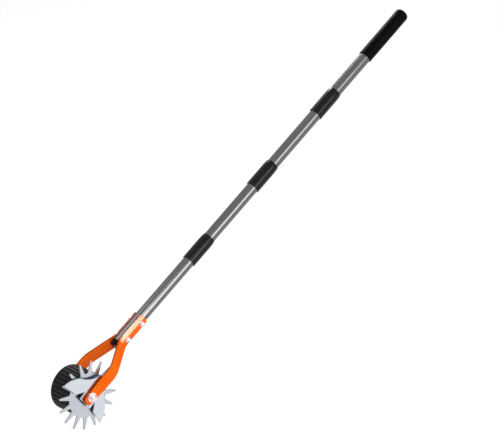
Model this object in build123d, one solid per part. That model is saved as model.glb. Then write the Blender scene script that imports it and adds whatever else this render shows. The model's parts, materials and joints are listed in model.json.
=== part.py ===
from build123d import *
import math
import os

# Rotary lawn edger, in millimetres.
# The pieces are modelled with the axle through the origin along X (towards the blade) and the
# handle along Z. At the end they are leaned into the working stance, with the origin at mid-grip.

# Stance
HANDLE_LEAN = 36.0

# Fits
SEAT_CLEAR = 0.05
RUN_CLEAR = 0.05
BODY_GAP = 0.3

# Handle tubes, with heights measured up the handle from the axle
TUBE_OD = 25.4
TUBE_WALL = 1.2
TUBE_START = 130.0
FIRST_JOINT = 379.8
SECTION_PITCH = 207.5
TOP_LENGTH = 271.0
JOINT_NAMES = ("lower", "middle", "top")
TUBE_NAMES = ("lower_tube", "second_tube", "third_tube", "top_tube")

# Grip and tube plug
GRIP_OD = 29.0
GRIP_LENGTH = 131.5
GRIP_ROUND = 9.0
GRIP_END_WALL = 5.0
GRIP_MOUTH_CHAMFER = 0.8
PLUG_DEPTH = 8.0
PLUG_CAP = 6.0
PLUG_CAP_ROUND = 1.0
PLUG_NOSE = 5.5
PLUG_STEP = 1.2

# Couplings and the threads inside them
COUPLING_OD = 29.6
COUPLING_LENGTH = 66.0
COUPLING_SKIRT = 26.0
COUPLING_TAPER = 15.0
COUPLING_TOP_WALL = 0.9
COUPLING_EDGE = 0.6
THREAD_OD = 19.05
STUD_BORE = 12.0
STUD_PLUG = 24.0
STUD_FLANGE = 1.5
STUD_RIM = 0.3
STUD_REACH = 15.0
STUD_CHAMFER = 1.2
BUSH_WALL = 2.35
BUSH_LENGTH = 12.5
COUPLING_LIP = 0.5
COUPLING_SHOULDER = 2.4

# Fork arms, bent from flat strap and rolled round the tube at the top
STRAP_WIDTH = 27.0
STRAP_THICK = 3.0
BLADE_ARM_INSIDE = 43.2
WHEEL_ARM_INSIDE = 36.5
FORK_TOP = 200.0
ROLL_CORNER = 123.0
FOLD_ROUND = 8.0
FOLD_RUN = 16.0
FOLD_UNDER = 5.0
FOLD_NEAR = 4.0
ARM_CORNER = 69.0
ARM_BEND = 50.0
ARM_TAIL = 17.0
ARM_TAIL_WIDTH = 19.5
ARM_TAIL_ROUND = 5.0
ARM_TAPER = 30.0

# Fork bolts
FORK_BOLT_D = 6.0
FORK_BOLT_HEIGHT = 143.5
FORK_BOLT_SPACING = 44.0
FORK_BOLT_COUNT = 2
FORK_HEX = 10.0
FORK_HEAD = 4.0
FORK_NUT = 3.4
FORK_COLLAR = 1.4
FORK_WASHER_OD = 12.0
FORK_WASHER = 1.0
FORK_BOLT_TIP = 4.0
FORK_BOLT_CHAMFER = 0.6
BOLT_HOLE_CLEAR = 0.2

# Axle
AXLE_D = 8.0
AXLE_HEX = 13.0
AXLE_HEAD = 5.3
AXLE_NUT = 5.2
AXLE_COLLAR = 2.6
AXLE_TIP = 1.2
AXLE_WASHER_OD = 20.0
AXLE_WASHER = 1.6
SLEEVE_OD = 12.0
SPACER_OD = 18.0
THRUST_OD = 20.0

# Star blade
BLADE_OFFSET = 32.0
BLADE_THICK = 2.0
BLADE_TEETH = 16
BLADE_TIP_R = 72.5
BLADE_ROOT_R = 47.0
TOOTH_BASE = 11.5
TOOTH_TIP = 3.6
TOOTH_ROOT_FILLET = 3.0
TOOTH_TIP_FILLET = 1.4
BLADE_TURN = 2.6

# Counter blade: a hub, a stem up the arm and two drooping wings
COUNTER_THICK = 2.0
COUNTER_SPACER = 2.2
COUNTER_TURN = 6.0
WING_REACH = 69.0
WING_TIP_HEIGHT = -22.5
WING_SHOULDER = (44.0, 14.0)
WING_BULGE = (62.5, -5.0)
STEM_WIDTH = 24.4
STEM_NECK_HEIGHT = 46.0
STEM_HOLLOW = (25.5, 25.5)
WING_HEEL = (32.0, -17.5)
NOTCH_CORNER = (19.0, -1.5)
TONGUE_WIDTH = 37.5
TONGUE_HEIGHT = -18.5
WING_DROP = 5.0
WING_FLAT = 18.0
WING_BEND = 30.0
STEM_BEND = 4.0
TAB_WIDTH = 13.0
TAB_START = 23.0
TAB_LENGTH = 24.0

# Wheel
WHEEL_D = 93.0
WHEEL_WIDTH = 53.5
WHEEL_SHIFT = -1.75
TREAD_DEPTH = 6.5
TREAD_RIBS = 32
GROOVE_WIDTH = 2.3
GROOVE_DEPTH = 2.0
TREAD_SHOULDER = 2.5
TREAD_RIM = 2.7
TREAD_TURN = 2.6
RIM_WALL = 3.5
RIM_INSET = 2.0
WEB_THICK = 6.0
HUB_OD = 32.0
HUB_PROUD = 1.0
SPOKE_COUNT = 6
SPOKE_THICK = 3.0
SPOKE_INSET = 6.0
NOSE_OD = 22.0
NOSE_FLATS = 18.0
NOSE_REACH = 1.9
LOCK_RING = 1.6
LOCK_RING_OD = 38.0
BUSH_OD = 16.0
BUSH_DEPTH = 18.0
BUSH_FLANGE = 1.5
BUSH_FLANGE_OD = 22.0

# Values worked out from the sizes above
TUBE_R = TUBE_OD / 2
TUBE_BORE_R = TUBE_R - TUBE_WALL
THREAD_R = THREAD_OD / 2
JOINTS = [FIRST_JOINT + SECTION_PITCH * step for step in range(len(JOINT_NAMES))]
HANDLE_END = JOINTS[-1] + TOP_LENGTH
GRIP_START = HANDLE_END - GRIP_LENGTH
GRIP_MIDDLE = (GRIP_START + HANDLE_END - GRIP_ROUND + GRIP_MOUTH_CHAMFER) / 2

COUPLING_SEAT = STUD_FLANGE + BODY_GAP
POCKET_START = COUPLING_SEAT + COUPLING_LIP
POCKET_END = POCKET_START + BUSH_LENGTH + 2 * BODY_GAP
SOCKET_START = POCKET_END + COUPLING_SHOULDER
THREAD_HOLE_R = THREAD_R + BODY_GAP + RUN_CLEAR

BLADE_ARM_OUTSIDE = BLADE_ARM_INSIDE + STRAP_THICK
WHEEL_ARM_OUTSIDE = WHEEL_ARM_INSIDE + STRAP_THICK
ROLL_MID_R = TUBE_R + SEAT_CLEAR + STRAP_THICK / 2
ROLL_OUTER_R = ROLL_MID_R + STRAP_THICK / 2

COUNTER_X = BLADE_ARM_INSIDE - COUNTER_SPACER - COUNTER_THICK / 2
COUNTER_BACK_X = COUNTER_X - COUNTER_THICK / 2
BLADE_BACK_X = BLADE_OFFSET - BLADE_THICK / 2
BLADE_FRONT_X = BLADE_OFFSET + BLADE_THICK / 2
NOSE_END_X = BLADE_FRONT_X + NOSE_REACH
SLEEVE_R = SLEEVE_OD / 2
SLEEVE_BORE_R = AXLE_D / 2 + BOLT_HOLE_CLEAR
BUSH_BORE_R = SLEEVE_R + RUN_CLEAR
HUB_BORE_R = BUSH_OD / 2 + SEAT_CLEAR
RIM_R = WHEEL_D / 2 - TREAD_DEPTH
HUB_START = WHEEL_SHIFT - WHEEL_WIDTH / 2 - HUB_PROUD
FORK_BOLT_HEIGHTS = [FORK_BOLT_HEIGHT + FORK_BOLT_SPACING * step for step in range(FORK_BOLT_COUNT)]

# Plane square to the axle: its x is up the handle and its normal runs towards the blade
AXLE_PLANE = Plane(origin=(0, 0, 0), x_dir=(0, 0, 1), z_dir=(1, 0, 0))


def sleeve(outer_r, inner_r, start, end):
    """A plain tube along Z between two heights."""
    length = end - start
    return Pos(0, 0, (start + end) / 2) * (Cylinder(outer_r, length) - Cylinder(inner_r, length))


def rod(radius, start, end):
    """A plain round bar along Z between two heights."""
    return Pos(0, 0, (start + end) / 2) * Cylinder(radius, end - start)


def hexagon(across_flats, start, end):
    """A hexagonal prism along Z between two heights."""
    outline = RegularPolygon(across_flats / 2, 6, major_radius=False)
    return Pos(0, 0, start) * extrude(outline, end - start)


def lathe(points, closing=None):
    """A solid of revolution about Z from (radius, height) points; closing is the edge from last to first."""
    closing = closing or Line(points[-1], points[0])
    profile = Plane.XZ * make_face([Polyline(*points), closing])
    return revolve(profile, Axis.Z)


def on_axle(shape):
    """Turns a piece made along Z so that it lies along the axle."""
    return AXLE_PLANE * shape


# Handle

def handle_tube(start, end):
    return sleeve(TUBE_R, TUBE_BORE_R, start, end)


def lower_tube():
    tube = handle_tube(TUBE_START, JOINTS[0])
    hole = on_axle(Cylinder(FORK_BOLT_D / 2 + BOLT_HOLE_CLEAR, 2 * TUBE_OD))
    for height in FORK_BOLT_HEIGHTS:
        tube -= Pos(0, 0, height) * hole
    return tube


def tube_plug():
    """The black plug that closes the lower end of the handle."""
    cap = rod(TUBE_R, TUBE_START - PLUG_CAP, TUBE_START)
    cap = fillet(cap.edges().group_by(Axis.Z)[0], PLUG_CAP_ROUND)
    nose = rod(TUBE_R - PLUG_STEP, TUBE_START - PLUG_CAP - PLUG_NOSE, TUBE_START)
    nose = fillet(nose.edges().group_by(Axis.Z)[0], PLUG_CAP_ROUND)
    return cap + nose + rod(TUBE_BORE_R - SEAT_CLEAR, TUBE_START, TUBE_START + PLUG_DEPTH)


def grip():
    body = rod(GRIP_OD / 2, GRIP_START, HANDLE_END)
    body = fillet(body.edges().group_by(Axis.Z)[-1], GRIP_ROUND)
    body = chamfer(body.edges().group_by(Axis.Z)[0], GRIP_MOUTH_CHAMFER)
    return body - rod(TUBE_R + SEAT_CLEAR, GRIP_START, HANDLE_END - GRIP_END_WALL)


def coupling(joint):
    """Black collar fixed on the upper tube; its skirt covers the end of the tube below."""
    outer = COUPLING_OD / 2
    skirt = TUBE_R + BODY_GAP
    bottom = joint - COUPLING_SKIRT
    top = bottom + COUPLING_LENGTH
    lip = THREAD_HOLE_R
    pocket = THREAD_R + RUN_CLEAR + BUSH_WALL + RUN_CLEAR
    socket = TUBE_R + SEAT_CLEAR
    shoulder = (outer, top - COUPLING_TAPER)
    crown = (socket + COUPLING_TOP_WALL, top)
    dome = TangentArc(shoulder, crown, tangent=(0, 1))
    return lathe([
        crown,
        (socket, top),
        (socket, joint + SOCKET_START),
        (lip, joint + SOCKET_START),
        (lip, joint + POCKET_END),
        (pocket, joint + POCKET_END),
        (pocket, joint + POCKET_START),
        (lip, joint + POCKET_START),
        (lip, joint + COUPLING_SEAT),
        (skirt, joint + COUPLING_SEAT),
        (skirt, bottom),
        (outer - COUPLING_EDGE, bottom),
        (outer, bottom + COUPLING_EDGE),
        shoulder,
    ], dome)


def stud(joint):
    """Threaded stud plugged into the top of a tube; the thread is a plain cylinder."""
    tip = joint + STUD_FLANGE + STUD_REACH
    return lathe([
        (STUD_BORE / 2, joint - STUD_PLUG),
        (TUBE_BORE_R - SEAT_CLEAR, joint - STUD_PLUG),
        (TUBE_BORE_R - SEAT_CLEAR, joint),
        (TUBE_R - STUD_RIM, joint),
        (TUBE_R - STUD_RIM, joint + STUD_FLANGE),
        (THREAD_R, joint + STUD_FLANGE),
        (THREAD_R, tip - STUD_CHAMFER),
        (THREAD_R - STUD_CHAMFER, tip),
        (STUD_BORE / 2, tip),
    ])


def thread_bush(joint):
    """Threaded bush held in the coupling, which runs on the stud below it."""
    bore = THREAD_R + RUN_CLEAR
    start = joint + POCKET_START + BODY_GAP
    return sleeve(bore + BUSH_WALL, bore, start, start + BUSH_LENGTH)


# Fork

def arm_slope(inside):
    """Angle between the handle and the sloping part of an arm whose foot is inside from the handle's axis."""
    return math.atan2(inside + STRAP_THICK / 2 - ROLL_MID_R, ROLL_CORNER - ARM_CORNER)


def foot_outline():
    """Outline of an arm's foot, as (side, height) points: it narrows towards its tail."""
    side = STRAP_WIDTH / 2
    tail = ARM_TAIL_WIDTH / 2
    return make_face(Polyline(
        (-side, FORK_TOP), (-side, ARM_TAPER), (-tail, -ARM_TAIL),
        (tail, -ARM_TAIL), (side, ARM_TAPER), (side, FORK_TOP), close=True,
    ))


def fork_arm(inside):
    """One arm, towards +X: strap rolled round the tube, folded into a flat slope and a flat foot."""
    lean = arm_slope(inside)
    half = STRAP_THICK / 2
    depth = 2 * ROLL_MID_R
    near_side = Pos(depth + FOLD_NEAR, 0, FORK_TOP / 2) * Box(2 * depth, 2 * depth, 2 * FORK_TOP)

    def on_slope(distance, offset):
        """Point in the XZ plane, distance up the slope from its corner and offset outwards from its middle."""
        return (
            ROLL_MID_R - distance * math.sin(lean) + offset * math.cos(lean),
            ROLL_CORNER + distance * math.cos(lean) + offset * math.sin(lean),
        )

    def up_to_face(offset, round_r):
        """Everything inside one face of the strap: the roll and the slope, rounded where they meet."""
        top = ROLL_MID_R / math.sin(lean)
        spots = ((top, offset), (-FOLD_RUN, offset), (-FOLD_RUN, -depth), (top, -depth))
        outline = make_face(Polyline(*[on_slope(*spot) for spot in spots], close=True))
        slope = extrude(Plane.XZ * outline, depth, both=True)
        roll = rod(ROLL_MID_R + offset, ROLL_CORNER - FOLD_UNDER, FORK_TOP)
        solid = (slope + roll) & near_side
        return fillet(solid.edges().filter_by(GeomType.ELLIPSE), round_r)

    sheet = up_to_face(half, FOLD_ROUND) - up_to_face(-half, FOLD_ROUND + STRAP_THICK)
    spread = math.tan(STRAP_WIDTH / (2 * ROLL_MID_R))
    wedge = make_face(Polyline((0, 0), (2 * depth, -2 * depth * spread), (2 * depth, 2 * depth * spread), close=True))
    band = wedge & Rectangle(4 * depth, STRAP_WIDTH)
    sheet = sheet & extrude(band, FORK_TOP)

    foot_x = inside + half
    foot_line = FilletPolyline(
        on_slope(-FOLD_RUN, 0), (foot_x, ARM_CORNER), (foot_x, -ARM_TAIL), radius=ARM_BEND
    )
    foot = extrude(Plane.XZ * trace(foot_line, STRAP_THICK), STRAP_WIDTH / 2, both=True)
    foot &= extrude(Plane.YZ * foot_outline(), 2 * foot_x)
    foot = fillet(foot.edges().filter_by(Axis.X).group_by(Axis.Z)[0], ARM_TAIL_ROUND)
    arm = sheet + foot
    bolt_hole = on_axle(rod(FORK_BOLT_D / 2 + BOLT_HOLE_CLEAR, 0, 2 * ROLL_OUTER_R))
    for height in FORK_BOLT_HEIGHTS:
        arm -= Pos(0, 0, height) * bolt_hole
    return arm - on_axle(rod(SLEEVE_BORE_R, 0, 2 * inside))


def fork_bolt():
    seat = ROLL_OUTER_R + FORK_WASHER
    tip = seat + FORK_NUT + FORK_COLLAR + FORK_BOLT_TIP
    shank = rod(FORK_BOLT_D / 2, -seat, tip)
    shank = chamfer(shank.edges().group_by(Axis.Z)[-1], FORK_BOLT_CHAMFER)
    return on_axle(hexagon(FORK_HEX, -seat - FORK_HEAD, -seat) + shank)


def fork_nut():
    seat = ROLL_OUTER_R + FORK_WASHER
    return on_axle(lock_nut(FORK_HEX, FORK_BOLT_D, seat, FORK_NUT, FORK_COLLAR))


def fork_washer(start):
    return on_axle(sleeve(FORK_WASHER_OD / 2, FORK_BOLT_D / 2 + BOLT_HOLE_CLEAR, start, start + FORK_WASHER))


def lock_nut(across_flats, thread, seat, height, collar):
    """Hexagon nut with a round locking collar, clear of the bolt by the seat clearance."""
    nut = hexagon(across_flats, seat, seat + height)
    ring = rod(across_flats / 2, seat + height, seat + height + collar)
    ring = fillet(ring.edges().group_by(Axis.Z)[-1], collar / 2)
    return nut + ring - rod(thread / 2 + SEAT_CLEAR, seat, seat + height + collar)


# Axle

def axle_bolt():
    head_seat = -WHEEL_ARM_OUTSIDE - AXLE_WASHER
    nut_seat = BLADE_ARM_OUTSIDE + AXLE_WASHER
    shank = rod(AXLE_D / 2, head_seat, nut_seat + AXLE_NUT + AXLE_COLLAR + AXLE_TIP)
    shank = fillet(shank.edges().group_by(Axis.Z)[-1], AXLE_TIP)
    return on_axle(hexagon(AXLE_HEX, head_seat - AXLE_HEAD, head_seat) + shank)


def axle_nut():
    return on_axle(lock_nut(AXLE_HEX, AXLE_D, BLADE_ARM_OUTSIDE + AXLE_WASHER, AXLE_NUT, AXLE_COLLAR))


def axle_washer(start):
    return on_axle(sleeve(AXLE_WASHER_OD / 2, SLEEVE_BORE_R, start, start + AXLE_WASHER))


def axle_sleeve():
    return on_axle(sleeve(SLEEVE_R, SLEEVE_BORE_R, -WHEEL_ARM_INSIDE, COUNTER_BACK_X))


def wheel_side_spacer():
    end = HUB_START - BUSH_FLANGE - BODY_GAP
    return on_axle(sleeve(SPACER_OD / 2, SLEEVE_R + SEAT_CLEAR, -WHEEL_ARM_INSIDE, end))


def blade_side_spacer():
    start = COUNTER_BACK_X + COUNTER_THICK
    return on_axle(sleeve(SPACER_OD / 2, SLEEVE_BORE_R, start, BLADE_ARM_INSIDE))


def thrust_washer():
    start = NOSE_END_X + BUSH_FLANGE + BODY_GAP
    return on_axle(sleeve(THRUST_OD / 2, SLEEVE_R + SEAT_CLEAR, start, COUNTER_BACK_X))


# Blades

def star_outline():
    """Star outline: a disc with evenly spaced blunt teeth, rounded at root and tip."""
    sunk_r = BLADE_ROOT_R - TOOTH_ROOT_FILLET
    tooth = make_face(Polyline(
        (sunk_r, -TOOTH_BASE / 2), (BLADE_TIP_R, -TOOTH_TIP / 2),
        (BLADE_TIP_R, TOOTH_TIP / 2), (sunk_r, TOOTH_BASE / 2), close=True,
    ))
    star = Circle(BLADE_ROOT_R)
    for step in range(BLADE_TEETH):
        star += Rot(0, 0, BLADE_TURN + 360 * step / BLADE_TEETH) * tooth
    middle_r = (BLADE_ROOT_R + BLADE_TIP_R) / 2
    corners = star.vertices().group_by(lambda corner: Vector(corner).length > middle_r)
    star = fillet(corners[0], TOOTH_ROOT_FILLET)
    tips = star.vertices().filter_by(lambda corner: Vector(corner).length > BLADE_TIP_R)
    return fillet(tips, TOOTH_TIP_FILLET)


def nose_outline(clearance):
    """Round hub nose with two flats, which drives the blade."""
    flats = Rectangle(2 * NOSE_OD, NOSE_FLATS + 2 * clearance)
    return Circle(NOSE_OD / 2 + clearance) & flats


def star_blade():
    plate = star_outline() - nose_outline(SEAT_CLEAR)
    return on_axle(Pos(0, 0, BLADE_BACK_X) * extrude(plate, BLADE_THICK))


def blade_lock_ring():
    ring = Circle(LOCK_RING_OD / 2) - nose_outline(SEAT_CLEAR)
    return on_axle(Pos(0, 0, BLADE_FRONT_X) * extrude(ring, LOCK_RING))


def counter_outline():
    """Half of the counter blade's outline, as (height, side) points from the stem down to the tongue."""
    def spot(side_height):
        return (side_height[1], side_height[0])

    neck = (STEM_NECK_HEIGHT, STEM_WIDTH / 2)
    tip = (WING_TIP_HEIGHT, WING_REACH)
    edges = [
        Line((STEM_NECK_HEIGHT, 0), neck),
        ThreePointArc(neck, spot(STEM_HOLLOW), spot(WING_SHOULDER)),
        ThreePointArc(spot(WING_SHOULDER), spot(WING_BULGE), tip),
        Polyline(tip, spot(WING_HEEL), spot(NOTCH_CORNER), (TONGUE_HEIGHT, TONGUE_WIDTH / 2), (TONGUE_HEIGHT, 0)),
        Line((TONGUE_HEIGHT, 0), (STEM_NECK_HEIGHT, 0)),
    ]
    half = make_face(edges)
    return half + mirror(half, Plane.XZ)


def counter_blade():
    """Fixed plate clamped on the axle; its stem lies along the arm and its wings droop to the star."""
    drop_run = WING_REACH - WING_FLAT
    reach = WING_REACH + drop_run / 2
    low_x = COUNTER_X - WING_DROP * (reach - WING_FLAT) / drop_run
    bow = FilletPolyline(
        (low_x, -reach), (COUNTER_X, -WING_FLAT), (COUNTER_X, WING_FLAT), (low_x, reach), radius=WING_BEND
    )
    height = 2 * BLADE_TIP_R
    sheet = extrude(trace(bow, COUNTER_THICK), height, both=True)
    wings = Rot(COUNTER_TURN, 0, 0) * (sheet & on_axle(extrude(counter_outline(), BLADE_ARM_INSIDE)))

    lean = arm_slope(BLADE_ARM_INSIDE)
    inset = (STRAP_THICK + COUNTER_THICK) / 2 + SEAT_CLEAR
    climb = (BLADE_ARM_INSIDE + STRAP_THICK / 2 - COUNTER_X - inset * math.cos(lean)) / math.sin(lean)
    elbow = ARM_CORNER - inset * math.sin(lean) + climb * math.cos(lean)
    tab_end = (COUNTER_X - TAB_LENGTH * math.sin(lean), elbow + TAB_LENGTH * math.cos(lean))
    bend = max(STEM_BEND, ARM_BEND - climb / math.tan(lean / 2))
    tab_line = FilletPolyline((COUNTER_X, TAB_START), (COUNTER_X, elbow), tab_end, radius=bend)
    tab = extrude(Plane.XZ * trace(tab_line, COUNTER_THICK), TAB_WIDTH / 2, both=True)
    return wings + tab - on_axle(rod(SLEEVE_BORE_R, 0, BLADE_ARM_INSIDE))


# Wheel

def wheel_tyre():
    """Ribbed tread: grooves run across it, parallel to the axle, between two plain rims."""
    outer = WHEEL_D / 2
    blank = Cylinder(outer, WHEEL_WIDTH)
    blank = fillet(blank.edges(), TREAD_SHOULDER)
    tread = blank - rod(RIM_R + SEAT_CLEAR, -WHEEL_WIDTH, WHEEL_WIDTH)
    floor_r = outer - GROOVE_DEPTH
    outline = make_face(Polyline(
        (floor_r, -GROOVE_WIDTH / 3), (outer + GROOVE_DEPTH, -GROOVE_WIDTH),
        (outer + GROOVE_DEPTH, GROOVE_WIDTH), (floor_r, GROOVE_WIDTH / 3), close=True,
    ))
    groove = extrude(outline, WHEEL_WIDTH / 2 - TREAD_RIM, both=True)
    tread -= [Rot(0, 0, TREAD_TURN + 360 * step / TREAD_RIBS) * groove for step in range(TREAD_RIBS)]
    return on_axle(Pos(0, 0, WHEEL_SHIFT) * tread)


def wheel_core():
    """Moulded hub, web, spokes and rim, with a nose that carries the star blade."""
    half = WHEEL_WIDTH / 2 - RIM_INSET
    rim = sleeve(RIM_R, RIM_R - RIM_WALL, -half, half)
    web = rod(RIM_R - RIM_WALL / 2, -WEB_THICK / 2, WEB_THICK / 2)
    frame = rim + web
    spoke_height = 2 * (half - SPOKE_INSET)
    spoke = Pos(RIM_R / 2, 0, 0) * Box(RIM_R - RIM_WALL / 2, SPOKE_THICK, spoke_height)
    for step in range(SPOKE_COUNT):
        frame += Rot(0, 0, 360 * step / SPOKE_COUNT) * spoke
    hub = rod(HUB_OD / 2, HUB_START, BLADE_BACK_X)
    nose = Pos(0, 0, BLADE_BACK_X) * extrude(nose_outline(0), NOSE_END_X - BLADE_BACK_X)
    core = Pos(0, 0, WHEEL_SHIFT) * frame + hub + nose
    return on_axle(core - rod(HUB_BORE_R, HUB_START, NOSE_END_X))


def wheel_bush(mouth, inward):
    """Flanged bush whose flange lies against a hub end; inward is the way its body goes."""
    body = sleeve(BUSH_OD / 2, BUSH_BORE_R, 0, BUSH_DEPTH)
    flange = sleeve(BUSH_FLANGE_OD / 2, BUSH_BORE_R, -BUSH_FLANGE, 0)
    turn = Rot(0, 0, 0) if inward > 0 else Rot(180, 0, 0)
    return on_axle(Pos(0, 0, mouth) * turn * (body + flange))


def group(pieces):
    """Several separate solids that share one node."""
    return Compound(children=list(pieces))


def all_nodes():
    nodes = {
        "fork_arm_blade_side": fork_arm(BLADE_ARM_INSIDE),
        "fork_arm_wheel_side": mirror(fork_arm(WHEEL_ARM_INSIDE), Plane.YZ),
        "fork_bolts": group([Pos(0, 0, height) * fork_bolt() for height in FORK_BOLT_HEIGHTS]),
        "fork_nuts": group([Pos(0, 0, height) * fork_nut() for height in FORK_BOLT_HEIGHTS]),
        "fork_washers": group([
            Pos(0, 0, height) * fork_washer(start)
            for height in FORK_BOLT_HEIGHTS
            for start in (ROLL_OUTER_R, -ROLL_OUTER_R - FORK_WASHER)
        ]),
        "tube_plug": tube_plug(),
        "lower_tube": lower_tube(),
        "grip": grip(),
        "axle_bolt": axle_bolt(),
        "axle_nut": axle_nut(),
        "axle_washers": group([
            axle_washer(start) for start in (BLADE_ARM_OUTSIDE, -WHEEL_ARM_OUTSIDE - AXLE_WASHER)
        ]),
        "axle_sleeve": axle_sleeve(),
        "wheel_side_spacer": wheel_side_spacer(),
        "blade_side_spacer": blade_side_spacer(),
        "thrust_washer": thrust_washer(),
        "star_blade": star_blade(),
        "blade_lock_ring": blade_lock_ring(),
        "counter_blade": counter_blade(),
        "wheel_tyre": wheel_tyre(),
        "wheel_core": wheel_core(),
        "wheel_bushes": group([wheel_bush(HUB_START, 1), wheel_bush(NOSE_END_X, -1)]),
    }
    tube_ends = JOINTS[1:] + [HANDLE_END - GRIP_END_WALL]
    for name, joint, tube_end, tube_name in zip(JOINT_NAMES, JOINTS, tube_ends, TUBE_NAMES[1:]):
        nodes[name + "_coupling"] = coupling(joint)
        nodes[name + "_stud"] = stud(joint)
        nodes[name + "_bush"] = thread_bush(joint)
        nodes[tube_name] = handle_tube(joint + SOCKET_START, tube_end)
    return nodes


os.makedirs("parts", exist_ok=True)
stance = Rot(HANDLE_LEAN - 90, 0, 0) * Pos(0, 0, -GRIP_MIDDLE)
for node_name, shape in all_nodes().items():
    export_step(stance * shape, f"parts/{node_name}.step")
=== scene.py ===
import json
import math
from typing import NamedTuple

import bmesh
import bpy
from mathutils import Matrix, Quaternion, Vector


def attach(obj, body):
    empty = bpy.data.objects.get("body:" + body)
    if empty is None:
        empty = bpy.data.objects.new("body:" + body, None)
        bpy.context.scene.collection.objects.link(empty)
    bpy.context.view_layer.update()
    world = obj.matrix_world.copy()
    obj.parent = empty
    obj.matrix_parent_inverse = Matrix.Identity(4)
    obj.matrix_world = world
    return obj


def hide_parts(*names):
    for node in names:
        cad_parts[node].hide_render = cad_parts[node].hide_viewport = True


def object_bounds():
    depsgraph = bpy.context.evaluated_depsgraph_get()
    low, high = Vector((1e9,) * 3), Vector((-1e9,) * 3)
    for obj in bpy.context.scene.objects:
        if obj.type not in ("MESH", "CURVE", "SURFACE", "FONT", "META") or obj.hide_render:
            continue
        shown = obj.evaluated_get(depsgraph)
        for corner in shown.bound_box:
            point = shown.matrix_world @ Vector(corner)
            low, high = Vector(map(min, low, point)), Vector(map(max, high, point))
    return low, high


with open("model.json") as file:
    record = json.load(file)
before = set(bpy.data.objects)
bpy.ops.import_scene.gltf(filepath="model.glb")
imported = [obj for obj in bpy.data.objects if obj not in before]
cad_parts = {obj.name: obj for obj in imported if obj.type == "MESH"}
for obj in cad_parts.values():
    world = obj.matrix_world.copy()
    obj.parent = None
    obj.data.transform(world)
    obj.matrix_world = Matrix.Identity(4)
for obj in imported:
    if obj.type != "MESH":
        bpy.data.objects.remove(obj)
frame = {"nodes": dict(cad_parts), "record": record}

cad_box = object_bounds()

# Lengths are in metres. The handle leans over the ground and the origin is at mid-grip. Heights are measured
# up the handle from the axle.
MM = 0.001
LEAN = math.radians(36)
UP_HANDLE = Vector((0, math.cos(LEAN), math.sin(LEAN)))
OFF_HANDLE = Vector((0, -math.sin(LEAN), math.cos(LEAN)))
AXLE_WAY = Vector((1, 0, 0))
GRIP_MIDDLE = 995.95 * MM
FORK_BOLT_HEIGHTS = (143.5 * MM, 187.5 * MM)

# Fork bolts and axle bolt: width across flats, thread diameter and pitch; seats, from the handle's mid-plane
# along the axle; lengths of head, nut, collar and of the tip that stands out of the collar
FORK_HEX, FORK_THREAD, FORK_PITCH = 10 * MM, 6 * MM, 1.0 * MM
FORK_SEAT = 16.75 * MM
FORK_HEAD, FORK_NUT, FORK_COLLAR, FORK_TIP = 4 * MM, 3.4 * MM, 1.4 * MM, 4 * MM
AXLE_HEX, AXLE_THREAD, AXLE_PITCH = 13 * MM, 8 * MM, 1.25 * MM
AXLE_HEAD_SEAT, AXLE_NUT_SEAT = -41.1 * MM, 47.8 * MM
AXLE_HEAD, AXLE_NUT, AXLE_COLLAR, AXLE_TIP = 5.3 * MM, 5.2 * MM, 2.6 * MM, 1.2 * MM

# Threads: depth and crest as shares of the pitch, and the cut at the tip as a share of the depth
THREAD_DEPTH = 0.61
CREST_START, CREST_END = 0.4, 0.6
TIP_CUT = 1.3

# Hexagons: cuts round an end, their slope, and the round that they leave as a share of the width across flats
END_CUTS = 12
END_SLOPE = math.radians(30)
END_ROUND = 0.97

# Lock nuts' collars: wall as a share of the space outside the thread, and rolled lip and depth of the nylon
# ring as shares of the wall
COLLAR_WALL = 0.35
COLLAR_LIP = 0.3
RING_DEPTH = 0.4

# Meshes: steps of a full turn, distance within which points are one, decimals that put points in order, and
# turn above which an edge looks sharp
ROUND_STEPS = 48
SAME_POINT = 0.001 * MM
ORDER_DECIMALS = 7
SHARP_TURN = math.radians(28)

# Looks: the attribute that marks cut edges, their painted shade and how dull they are, the height where the
# straps are rolled, their shoulder's start and end off the handle's axis, and the gloss of paint on flats and
# shoulder
CUT_EDGES = "cut_edges"
# Share by which cut edges are darkened: painted shade on the edge faces
EDGE_SHADE = 0.7
EDGE_DULLING = 0.8
ROLL_START, ROLL_FADE = 128 * MM, 6 * MM
SHOULDER_START, SHOULDER_END = 3 * MM, 5.5 * MM
FLAT_GLOSS, SHOULDER_GLOSS = 0.045, 0.355
BUMP_STRENGTH = 0.5

# Studio: half the floor's width, its gap under the object, its colour, the share and strength of the white
# that is seen on it, and the room's fill light
FLOOR_HALF = 30
FLOOR_GAP = 0.2 * MM
FLOOR_COLOUR = (0.9, 0.9, 0.9, 1)
FLOOR_WHITENESS = 0.75
FLOOR_GLOW = 1.2
FILL_LEVEL = 0.36


class Field:
    """A value that changes over a surface; arithmetic on it adds Math nodes."""

    def __init__(self, shading, socket):
        self.shading = shading
        self.socket = socket

    def math(self, operation, first, second):
        return self.shading.node("ShaderNodeMath", {"operation": operation}, {0: first, 1: second})

    def __add__(self, other):
        return self.math("ADD", self, other)

    def __radd__(self, other):
        return self.math("ADD", other, self)

    def __rsub__(self, other):
        return self.math("SUBTRACT", other, self)

    def __mul__(self, other):
        return self.math("MULTIPLY", self, other)

    def __rmul__(self, other):
        return self.math("MULTIPLY", other, self)


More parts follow.
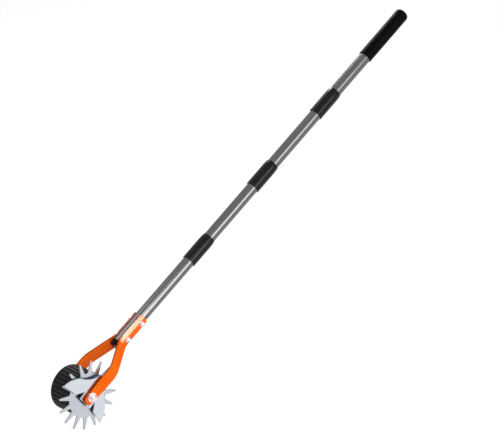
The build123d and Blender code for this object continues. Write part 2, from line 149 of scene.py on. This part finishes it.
class Shading:
    """The node tree of a material or of the world."""

    def __init__(self, owner):
        owner.use_nodes = True
        self.tree = owner.node_tree
        self.tree.nodes.clear()

    def node(self, kind, settings, sockets, output=0):
        """Adds one node, sets it, gives its sockets values or links, and returns one of its outputs."""
        node = self.tree.nodes.new(kind)
        for key, value in settings.items():
            if key == "stops":
                for element, (position, level) in zip(node.color_ramp.elements, value):
                    element.position = position
                    element.color = (level, level, level, 1)
            else:
                setattr(node, key, value)
        for key, value in sockets.items():
            if isinstance(value, Field):
                self.tree.links.new(value.socket, node.inputs[key])
            else:
                node.inputs[key].default_value = value
        return Field(self, node.outputs[output]) if node.outputs else node

    def seen(self):
        """1 for rays that show the background to the eye, by itself or in a reflection, and 0 for others."""
        kinds = ("Is Camera Ray", "Is Glossy Ray", "Is Transmission Ray")
        camera, glossy, through = [self.node("ShaderNodeLightPath", {}, {}, kind) for kind in kinds]
        return camera + glossy + through


class Finish(Shading):
    """A surface with one Principled shader and patterns in Object coordinates."""

    def __init__(self, name):
        self.material = bpy.data.materials.new(name)
        super().__init__(self.material)

    def place(self, turn=(0, 0, 0), scale=(1, 1, 1)):
        """Object coordinates, turned and stretched."""
        spot = self.node("ShaderNodeTexCoord", {}, {}, "Object")
        return self.node("ShaderNodeMapping", {}, {"Vector": spot, "Rotation": turn, "Scale": scale})

    def noise(self, spot, scale, detail=2.0, roughness=0.5):
        """Cloudy value between 0 and 1."""
        sockets = {"Vector": spot, "Scale": scale, "Detail": detail, "Roughness": roughness}
        return self.node("ShaderNodeTexNoise", {}, sockets, "Fac")

    def ramp(self, value, low, high):
        """0 below the low level of a value, 1 above the high level."""
        return self.node("ShaderNodeValToRGB", {"stops": ((low, 0), (high, 1))}, {"Fac": value})

    def mix(self, factor, first, second):
        """A colour between two colours, each three numbers or the result of another mix."""
        first, second = [colour if isinstance(colour, Field) else (*colour, 1) for colour in (first, second)]
        return self.node("ShaderNodeMix", {"data_type": "RGBA"}, {0: factor, 6: first, 7: second}, 2)

    def along(self, direction):
        """Distance from the object's origin in one direction."""
        spot = self.node("ShaderNodeTexCoord", {}, {}, "Object")
        dot = {"operation": "DOT_PRODUCT"}
        return self.node("ShaderNodeVectorMath", dot, {0: spot, 1: direction}, "Value")

    def cut_edges(self):
        """1 on the cut edges of a sheet, 0 on its faces."""
        return self.node("ShaderNodeAttribute", {"attribute_name": CUT_EDGES}, {}, "Fac")

    def bump(self, height, distance):
        """Normal of a surface that rises with a value by a distance."""
        sockets = {"Height": height, "Strength": BUMP_STRENGTH, "Distance": distance}
        return self.node("ShaderNodeBump", {}, sockets)

    def surface(self, **sockets):
        """The shader, with its sockets named in words joined by underscores."""
        named = {key.replace("_", " "): value for key, value in sockets.items()}
        shader = self.node("ShaderNodeBsdfPrincipled", {}, named)
        self.node("ShaderNodeOutputMaterial", {}, {"Surface": shader})
        return self.material


def orange_paint():
    """Enamel with faint orange peel and uneven depth of colour.

    It is glossier on the rolled strap's shoulder, and dull on cut edges, whose colour is darkened with
    painted shade.
    """
    paint = Finish("orange_paint")
    spot = paint.place()
    cloud = paint.noise(spot, scale=22, detail=3)
    peel = paint.noise(spot, scale=420)
    edge = paint.cut_edges()
    rolled = paint.ramp(GRIP_MIDDLE + paint.along(UP_HANDLE), ROLL_START, ROLL_START + ROLL_FADE)
    shoulder = paint.ramp(paint.along(OFF_HANDLE), SHOULDER_START, SHOULDER_END)
    face = paint.mix(paint.ramp(cloud, 0.3, 0.7), (0.88, 0.118, 0.0004), (0.96, 0.146, 0.0008))
    return paint.surface(
        # Cut edges are darkened towards a deep brown: painted shade on the edge faces
        Base_Color=paint.mix(EDGE_SHADE * edge, face, (0.3, 0.045, 0.003)),
        Metallic=0.08,
        Roughness=0.24 + 0.06 * cloud,
        Normal=paint.bump(peel, 0.004 * MM),
        Specular_IOR_Level=0.0,
        Specular_Tint=(1.0, 0.3, 0.02, 1),
        Coat_Weight=(FLAT_GLOSS + SHOULDER_GLOSS * rolled * shoulder) * (1 - EDGE_DULLING * edge),
        Coat_Roughness=0.06,
        Coat_IOR=2.5,
    )


def tube_grey():
    """Dark metallic lacquer with fine flake."""
    lacquer = Finish("tube_grey")
    spot = lacquer.place()
    flake = lacquer.noise(spot, scale=2400)
    cloud = lacquer.noise(spot, scale=14)
    return lacquer.surface(
        Base_Color=lacquer.mix(lacquer.ramp(flake, 0.35, 0.65), (0.135, 0.135, 0.14), (0.17, 0.17, 0.176)),
        Metallic=0.9,
        Roughness=0.14 + 0.05 * cloud,
    )


def black_plastic(name="black_plastic", sheen=0.22):
    """Moulded black plastic with a polished skin and a trace of grain."""
    plastic = Finish(name)
    spot = plastic.place()
    grain = plastic.noise(spot, scale=1500, detail=3, roughness=0.6)
    cloud = plastic.noise(spot, scale=30)
    return plastic.surface(
        Base_Color=plastic.mix(cloud, (0.001, 0.001, 0.0011), (0.003, 0.003, 0.0032)),
        Roughness=0.2 + 0.08 * grain,
        Normal=plastic.bump(grain, 0.004 * MM),
        Specular_IOR_Level=sheen,
    )


def grip_black():
    """Soft black sleeve with fine closed cells."""
    sleeve = Finish("grip_black")
    spot = sleeve.place()
    cells = sleeve.noise(spot, scale=1100, detail=4, roughness=0.65)
    cloud = sleeve.noise(spot, scale=25)
    return sleeve.surface(
        Base_Color=sleeve.mix(cloud, (0.0006, 0.0006, 0.0007), (0.0014, 0.0014, 0.0015)),
        Roughness=0.4 + 0.1 * cells,
        Normal=sleeve.bump(cells, 0.02 * MM),
        Specular_IOR_Level=0.05,
    )


def blade_steel(name="blade_steel", dull=(0.50, 0.525, 0.58), bright=(0.57, 0.595, 0.65)):
    """Zinc-plated sheet, cool in tone, with faint rolling lines, cloudy plating, and dull cut edges darkened
    with painted shade.
    """
    plate = Finish(name)
    grain = plate.noise(plate.place((-LEAN, 0, 0), (300, 40, 900)), scale=1.0, detail=3)
    cloud = plate.noise(plate.place(), scale=60, detail=4, roughness=0.6)
    edge = plate.cut_edges()
    face = plate.mix(plate.ramp(cloud, 0.3, 0.7), dull, bright)
    return plate.surface(
        # Cut edges are darkened towards dark grey: painted shade on the edge faces
        Base_Color=plate.mix(EDGE_SHADE * edge, face, (0.17, 0.17, 0.185)),
        Metallic=1.0,
        Roughness=0.18 + 0.08 * cloud + 0.06 * grain + 0.5 * edge,
        Normal=plate.bump(grain, 0.006 * MM),
    )


def zinc_fastener():
    """Bright zinc plating with small dull clouds."""
    zinc = Finish("zinc_fastener")
    cloud = zinc.noise(zinc.place(), scale=420, detail=3, roughness=0.6)
    return zinc.surface(
        Base_Color=zinc.mix(cloud, (0.76, 0.77, 0.79), (0.93, 0.93, 0.94)),
        Metallic=1.0,
        Roughness=0.16 + 0.18 * cloud,
    )


def tread_rubber():
    """Hard black tread with a dry, slightly uneven surface."""
    rubber = Finish("tread_rubber")
    spot = rubber.place()
    pores = rubber.noise(spot, scale=900, detail=4, roughness=0.6)
    cloud = rubber.noise(spot, scale=45, detail=3)
    return rubber.surface(
        Base_Color=rubber.mix(cloud, (0.009, 0.009, 0.0095), (0.02, 0.02, 0.0205)),
        Roughness=0.5 + 0.2 * pores,
        Normal=rubber.bump(pores, 0.02 * MM),
        Specular_IOR_Level=0.16,
    )


def wheel_plastic():
    """Moulded dark plastic of the hub and rim."""
    plastic = Finish("wheel_plastic")
    spot = plastic.place()
    grain = plastic.noise(spot, scale=1200, detail=3)
    cloud = plastic.noise(spot, scale=35)
    return plastic.surface(
        Base_Color=plastic.mix(cloud, (0.012, 0.012, 0.013), (0.02, 0.02, 0.021)),
        Roughness=0.42 + 0.12 * grain,
        Normal=plastic.bump(grain, 0.01 * MM),
        Specular_IOR_Level=0.2,
    )


def bush_nylon():
    """Natural nylon, slightly waxy."""
    nylon = Finish("bush_nylon")
    cloud = nylon.noise(nylon.place(), scale=80, detail=3)
    return nylon.surface(
        Base_Color=nylon.mix(cloud, (0.66, 0.64, 0.58), (0.76, 0.75, 0.70)),
        Roughness=0.35 + 0.12 * cloud,
    )


FINISHES = {
    make.__name__: make()
    for make in (
        orange_paint, tube_grey, black_plastic, grip_black, blade_steel,
        zinc_fastener, tread_rubber, wheel_plastic, bush_nylon,
    )
}


def dress_nodes():
    """Gives every CAD node the finish of its slot in the record, in its own shade for two of them."""
    for subpart in frame["record"]["subparts"]:
        node = frame["nodes"][subpart["node"]]
        node.data.materials.clear()
        node.data.materials.append(FINISHES[subpart["material_slot"]])
    frame["nodes"]["tube_plug"].data.materials[0] = black_plastic("plug_plastic", sheen=0.06)
    frame["nodes"]["counter_blade"].data.materials[0] = blade_steel(
        "counter_blade_steel", dull=(0.60, 0.63, 0.69), bright=(0.68, 0.71, 0.775)
    )


def along_axle(height):
    """Places local Z, along which fasteners are made, in the axle's direction at a height."""
    turn = Matrix((OFF_HANDLE.cross(AXLE_WAY), OFF_HANDLE, AXLE_WAY)).transposed().to_4x4()
    return Matrix.Translation(UP_HANDLE * (height - GRIP_MIDDLE)) @ turn


def turned(bm, profile, place):
    """Spins a (radius, height) profile about local Z into the mesh."""
    part = bmesh.new()
    spots = [part.verts.new((radius, 0, height)) for radius, height in profile]
    sides = [part.edges.new(pair) for pair in zip(spots, spots[1:])]
    bmesh.ops.spin(
        part, geom=spots + sides, cent=(0, 0, 0), axis=(0, 0, 1), angle=2 * math.pi,
        steps=ROUND_STEPS, use_merge=True,
    )
    add_part(bm, part, place)


def add_part(bm, part, place):
    """Closes a part, turns its faces outwards and adds it to the mesh in its place.

    Merging leaves points and faces in an order that changes from run to run, so they are put in order.
    """
    bmesh.ops.remove_doubles(part, verts=part.verts, dist=SAME_POINT)
    bmesh.ops.recalc_face_normals(part, faces=part.faces)
    spots = sorted(part.verts, key=lambda vert: [round(value, ORDER_DECIMALS) for value in vert.co])
    rank = {vert: number for number, vert in enumerate(spots)}
    loops = [[rank[vert] for vert in face.verts] for face in part.faces]
    firsts = [loop.index(min(loop)) for loop in loops]
    added = [bm.verts.new(place @ vert.co) for vert in spots]
    for loop in sorted(loop[first:] + loop[:first] for loop, first in zip(loops, firsts)):
        bm.faces.new([added[number] for number in loop])
    part.free()


def hexagon(bm, across_flats, start, end, cut_start, cut_end, place):
    """Hexagonal prism whose corners are cut back at one or both ends."""
    part = bmesh.new()
    corner = across_flats / math.sqrt(3)
    bmesh.ops.create_cone(
        part, cap_ends=True, segments=6, radius1=corner, radius2=corner, depth=end - start,
        matrix=Matrix.Translation((0, 0, (start + end) / 2)),
    )
    reach = across_flats / 2 * END_ROUND
    for height, outward, wanted in ((start, -1, cut_start), (end, 1, cut_end)):
        for step in range(END_CUTS if wanted else 0):
            angle = 2 * math.pi * (step + 0.5) / END_CUTS
            spot = Vector((reach * math.cos(angle), reach * math.sin(angle), height))
            facing = Vector((
                math.sin(END_SLOPE) * math.cos(angle),
                math.sin(END_SLOPE) * math.sin(angle),
                outward * math.cos(END_SLOPE),
            ))
            cut = bmesh.ops.bisect_plane(
                part, geom=part.verts[:] + part.edges[:] + part.faces[:], plane_co=spot, plane_no=facing,
                clear_outer=True,
            )
            rim = [item for item in cut["geom_cut"] if isinstance(item, bmesh.types.BMEdge)]
            bmesh.ops.contextual_create(part, geom=rim)
    add_part(bm, part, place)


def thread_profile(radius, pitch, start, end):
    """Profile of a threaded end from start up to a chamfered tip, closed on the axis."""
    depth = THREAD_DEPTH * pitch
    profile = [(0, start), (radius - depth, start)]
    height = start
    while height + pitch < end - depth:
        profile += [
            (radius, height + CREST_START * pitch),
            (radius, height + CREST_END * pitch),
            (radius - depth, height + pitch),
        ]
        height += pitch
    profile += [(radius - depth, end - depth / 2), (radius - TIP_CUT * depth, end), (0, end)]
    return profile


def bolt(bm, across_flats, thread, pitch, head_seat, head, thread_start, tip, place):
    """Hexagon bolt with its head towards -Z and a thread at its tip."""
    hexagon(bm, across_flats, head_seat - head, head_seat, True, False, place)
    radius = thread / 2
    turned(bm, [(0, head_seat), (radius, head_seat), (radius, thread_start), (0, thread_start)], place)
    turned(bm, thread_profile(radius, pitch, thread_start, tip), place)


def lock_nut(steel, nylon, across_flats, thread, seat, height, collar, place):
    """Hexagon nut with a thin rolled collar, and the nylon ring that the collar holds."""
    hexagon_top = seat + height
    hexagon(steel, across_flats, seat, hexagon_top, True, True, place)
    outer = across_flats / 2 * END_ROUND
    bore = thread / 2
    wall = COLLAR_WALL * (outer - bore)
    top = hexagon_top + collar
    turned(steel, [
        (outer - wall, hexagon_top), (outer, hexagon_top), (outer, top - wall),
        (outer - COLLAR_LIP * wall, top - COLLAR_LIP * wall),
        (outer - wall, top), (outer - wall, hexagon_top),
    ], place)
    ring_top = top - RING_DEPTH * wall
    turned(nylon, [
        (bore, hexagon_top), (outer - wall, hexagon_top), (outer - wall, ring_top), (bore, ring_top),
        (bore, hexagon_top),
    ], place)


def body_of(node):
    """The body that carries a CAD node."""
    return next(body for body, nodes in frame["record"]["behaviour"]["bodies"].items() if node in nodes)


# Radii of the rounded edges: sheared and punched ones on metal, moulded ones on the wheel
EDGE_ROUNDS = {
    "fork_arm_blade_side": 0.3 * MM,
    "fork_arm_wheel_side": 0.3 * MM,
    "star_blade": 0.3 * MM,
    "counter_blade": 0.3 * MM,
    "axle_washers": 0.3 * MM,
    "fork_washers": 0.2 * MM,
    "wheel_tyre": 0.15 * MM,
    "wheel_core": 0.4 * MM,
}
ROUND_SEGMENTS = 4
FORK_ARMS = ("fork_arm_blade_side", "fork_arm_wheel_side")

# Faces count as flat where they turn less than the first two angles, and edges as sharp above the third.
FLAT_TURN = math.radians(0.3)
ARM_FLAT_TURN = math.radians(1)
EDGE_TURN = math.radians(50)

# Limits that tell cut faces and corners from others, as shares of a normal or an edge in one direction
SIDE_FACING = 0.5
ROLL_EDGE_FACING = 0.3
CORNER_FACING = 0.7
CORNER_LENGTH = 2.5 * MM

# Heights of the arms' holes, and the distance from a hole's axis within which a face belongs to the hole
ARM_HOLES = (0, *FORK_BOLT_HEIGHTS)
HOLE_REACH = 6 * MM


def is_cut(face):
    """Whether a face is a cut edge of a sheet that lies square to the axle."""
    return abs(face.normal.dot(AXLE_WAY)) < SIDE_FACING


def is_roll_edge(face):
    """Whether a face is a cut edge of a rolled arm, which faces back and away from the mid-plane."""
    centre = face.calc_center_median()
    faces_back = face.normal.dot(AXLE_WAY) * centre.dot(AXLE_WAY) < 0
    outward = math.copysign(1, centre.dot(OFF_HANDLE)) * face.normal.dot(OFF_HANDLE)
    return faces_back and outward > ROLL_EDGE_FACING


def in_bolt_hole(face):
    """Whether a face of an arm is in one of its bolt holes, which the washers cover."""
    centre = face.calc_center_median()
    height = GRIP_MIDDLE + centre.dot(UP_HANDLE)
    return any(math.hypot(height - hole, centre.dot(OFF_HANDLE)) < HOLE_REACH for hole in ARM_HOLES)


def is_corner(edge):
    """Whether an edge is a corner across the thickness of a sheet."""
    length = edge.calc_length()
    along = abs((edge.verts[1].co - edge.verts[0].co).dot(AXLE_WAY))
    return along > CORNER_FACING * length and length < CORNER_LENGTH


def round_strap(bm, radius):
    """Rounds a strap along its cut faces, by drawing them in and raising them again in steps.

    Returns the cut faces and the rounds.
    """
    rounds = [face for face in bm.faces if is_cut(face) or is_roll_edge(face)]
    faces = [face for face in rounds if not in_bolt_hole(face)]
    shared = {}
    for face in faces:
        for vert in face.verts:
            shared.setdefault(vert, []).append(face.normal.copy())
    for vert, normals in shared.items():
        mean = sum(normals, Vector()) / len(normals)
        vert.co -= mean * (radius / mean.length_squared)
    for step in range(ROUND_SEGMENTS):
        low, high = [math.pi / 2 * end / ROUND_SEGMENTS for end in (step, step + 1)]
        ring = bmesh.ops.inset_region(
            bm, faces=faces, thickness=radius * (math.cos(low) - math.cos(high)),
            depth=radius * (math.sin(high) - math.sin(low)), use_even_offset=True, use_boundary=True,
        )
        rounds += ring["faces"]
    return rounds


def round_sheet(bm, radius):
    """Rounds the sharp edges of a flat or turned part, apart from corners across its thickness.

    Returns the cut faces and the rounds.
    """
    sharp = [edge for edge in bm.edges if edge.calc_face_angle(0) > EDGE_TURN and not is_corner(edge)]
    rounds = bmesh.ops.bevel(
        bm, geom=sharp, offset=radius, offset_type="OFFSET", affect="EDGES",
        segments=ROUND_SEGMENTS, profile=0.5, material=-1, clamp_overlap=True,
    )
    bm.normal_update()
    return [face for face in bm.faces if is_cut(face)] + rounds["faces"]


def soften_edges():
    """Replaces nodes by copies whose sharp edges are rounded and whose cut edges are marked."""
    for node, radius in EDGE_ROUNDS.items():
        is_arm = node in FORK_ARMS
        bm = bmesh.new()
        bm.from_mesh(frame["nodes"][node].data)
        bmesh.ops.remove_doubles(bm, verts=bm.verts, dist=SAME_POINT)
        flat_turn = ARM_FLAT_TURN if is_arm else FLAT_TURN
        bmesh.ops.dissolve_limit(bm, angle_limit=flat_turn, verts=bm.verts, edges=bm.edges)
        bm.normal_update()
        cut = bm.faces.layers.float.new(CUT_EDGES)
        edges = round_strap(bm, radius) if is_arm else round_sheet(bm, radius)
        for face in edges:
            face[cut] = 1
        piece = finished(bm, node + "_rounded", node)
        piece.modifiers.new("flat_faces", "WEIGHTED_NORMAL").keep_sharp = True


def add_piece(bm, name, body, finish):
    """Turns a mesh into a piece that rides on a body."""
    mesh = bpy.data.meshes.new(name)
    bm.to_mesh(mesh)
    bm.free()
    mesh.materials.append(finish)
    mesh.shade_smooth()
    mesh.set_sharp_from_angle(angle=SHARP_TURN)
    piece = bpy.data.objects.new(name, mesh)
    bpy.context.scene.collection.objects.link(piece)
    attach(piece, body)
    return piece


def finished(bm, name, node):
    """Turns a mesh into a piece that stands for a CAD node, with that node's body and finish."""
    piece = add_piece(bm, name, body_of(node), frame["nodes"][node].data.materials[0])
    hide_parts(node)
    return piece


def make_fasteners():
    """Replaces plain bolts and nuts by threaded bolts and by lock nuts with nylon rings."""
    nylon = bmesh.new()
    steel = bmesh.new()
    tip = FORK_SEAT + FORK_NUT + FORK_COLLAR + FORK_TIP
    for height in FORK_BOLT_HEIGHTS:
        bolt(
            steel, FORK_HEX, FORK_THREAD, FORK_PITCH, -FORK_SEAT, FORK_HEAD, FORK_SEAT + FORK_NUT, tip,
            along_axle(height),
        )
    finished(steel, "fork_bolts_threaded", "fork_bolts")

    steel = bmesh.new()
    for height in FORK_BOLT_HEIGHTS:
        lock_nut(steel, nylon, FORK_HEX, FORK_THREAD, FORK_SEAT, FORK_NUT, FORK_COLLAR, along_axle(height))
    finished(steel, "fork_lock_nuts", "fork_nuts")

    steel = bmesh.new()
    tip = AXLE_NUT_SEAT + AXLE_NUT + AXLE_COLLAR + AXLE_TIP
    bolt(
        steel, AXLE_HEX, AXLE_THREAD, AXLE_PITCH, AXLE_HEAD_SEAT, AXLE_HEAD, AXLE_NUT_SEAT + AXLE_NUT, tip,
        along_axle(0),
    )
    finished(steel, "axle_bolt_threaded", "axle_bolt")

    steel = bmesh.new()
    lock_nut(steel, nylon, AXLE_HEX, AXLE_THREAD, AXLE_NUT_SEAT, AXLE_NUT, AXLE_COLLAR, along_axle(0))
    finished(steel, "axle_lock_nut", "axle_nut")
    add_piece(nylon, "lock_nut_rings", body_of("axle_nut"), FINISHES["bush_nylon"])


def make_floor():
    """Pale floor under the lowest tooth: white to the eye, with the object's soft shadow."""
    bm = bmesh.new()
    bmesh.ops.create_grid(bm, x_segments=1, y_segments=1, size=FLOOR_HALF)
    mesh = bpy.data.meshes.new("floor")
    bm.to_mesh(mesh)
    bm.free()
    mesh.transform(Matrix.Translation((0, 0, cad_box[0].z - FLOOR_GAP)))
    floor = bpy.data.objects.new("floor", mesh)
    bpy.context.scene.collection.objects.link(floor)

    white = bpy.data.materials.new("floor_white")
    shading = Shading(white)
    matt = shading.node("ShaderNodeBsdfDiffuse", {}, {"Color": FLOOR_COLOUR})
    glow = shading.node("ShaderNodeEmission", {}, {"Strength": FLOOR_GLOW})
    share = FLOOR_WHITENESS * shading.seen()
    surface = shading.node("ShaderNodeMixShader", {}, {0: share, 1: matt, 2: glow})
    shading.node("ShaderNodeOutputMaterial", {}, {"Surface": surface})
    mesh.materials.append(white)


def make_world():
    """Even pale room: white where it is seen, and a soft fill on the object."""
    world = bpy.data.worlds.new("studio")
    bpy.context.scene.world = world
    shading = Shading(world)
    strength = FILL_LEVEL + (1 - FILL_LEVEL) * shading.seen()
    sky = shading.node("ShaderNodeBackground", {}, {"Strength": strength})
    shading.node("ShaderNodeOutputWorld", {}, {"Surface": sky})


WHITE = (1.0, 1.0, 1.0)
CREAM = (1.0, 1.0, 0.79)


class Softbox(NamedTuple):
    """Panels side by side round the handle, square to it.

    They reach from a low to a high point along the handle. Their turn is from the axle's direction towards
    the upper side, and across is the width of one panel.
    """

    low: float
    high: float
    degrees: float
    across: float
    radiance: float
    tint: tuple = WHITE
    panels: int = 1


# The two strips make the bright line along the tubes.
SOFTBOX_DISTANCE = 1.9
SOFTBOXES = {
    "head_box": Softbox(-0.1, 0.25, degrees=30, across=0.8, radiance=11),
    "fork_box": Softbox(0.607, 0.72, degrees=28, across=0.77, radiance=8.3, tint=CREAM, panels=3),
    "fork_top_box": Softbox(0.6, 0.72, degrees=115, across=1.6, radiance=2.6),
    "lower_strip": Softbox(0.72, 1.198, degrees=12, across=1.05, radiance=4.6),
    "upper_strip": Softbox(1.198, 1.62, degrees=15, across=1.05, radiance=3.4),
    "grip_box": Softbox(1.72, 1.95, degrees=158, across=1.5, radiance=22),
}


def make_softboxes():
    """Hangs the softboxes round the handle."""
    for name, softbox in SOFTBOXES.items():
        length = softbox.high - softbox.low
        step = 2 * math.atan(softbox.across / 2 / SOFTBOX_DISTANCE)
        for panel in range(softbox.panels):
            turn = math.radians(softbox.degrees) + (panel - (softbox.panels - 1) / 2) * step
            back = AXLE_WAY * math.cos(turn) + OFF_HANDLE * math.sin(turn)
            height = (softbox.low + softbox.high) / 2
            lamp = bpy.data.lights.new(name, "AREA")
            lamp.shape = "RECTANGLE"
            lamp.size = length
            lamp.size_y = softbox.across
            lamp.color = softbox.tint
            lamp.energy = softbox.radiance * math.pi * softbox.across * length
            box = bpy.data.objects.new(name, lamp)
            centre = UP_HANDLE * (height - GRIP_MIDDLE) + back * SOFTBOX_DISTANCE
            facing = Matrix((UP_HANDLE, back.cross(UP_HANDLE), back)).transposed().to_4x4()
            box.matrix_world = Matrix.Translation(centre) @ facing
            box.visible_camera = False
            bpy.context.scene.collection.objects.link(box)


CAMERA_PLACE = Vector((5.6628, -5.3580, 2.4400))
CAMERA_AZIMUTH = math.radians(48.549)
CAMERA_ELEVATION = math.radians(20.042)
CAMERA_ROLL = math.radians(1.224)
CAMERA_LENS, CAMERA_SENSOR = 283.58, 36
CAMERA_REACH = 100


def make_camera():
    """Long lens at the photograph's viewing angle."""
    data = bpy.data.cameras.new("camera")
    data.sensor_width = CAMERA_SENSOR
    data.lens = CAMERA_LENS
    data.clip_end = CAMERA_REACH
    camera = bpy.data.objects.new("camera", data)
    back = Vector((
        math.sin(CAMERA_AZIMUTH) * math.cos(CAMERA_ELEVATION),
        -math.cos(CAMERA_AZIMUTH) * math.cos(CAMERA_ELEVATION),
        math.sin(CAMERA_ELEVATION),
    ))
    camera.location = CAMERA_PLACE
    camera.rotation_mode = "QUATERNION"
    camera.rotation_quaternion = (-back).to_track_quat("-Z", "Y") @ Quaternion((0, 0, 1), CAMERA_ROLL)
    bpy.context.scene.collection.objects.link(camera)
    bpy.context.scene.camera = camera


dress_nodes()
make_fasteners()
soften_edges()
make_floor()
make_world()
make_softboxes()
make_camera()
bpy.context.scene.view_settings.view_transform = "Standard"
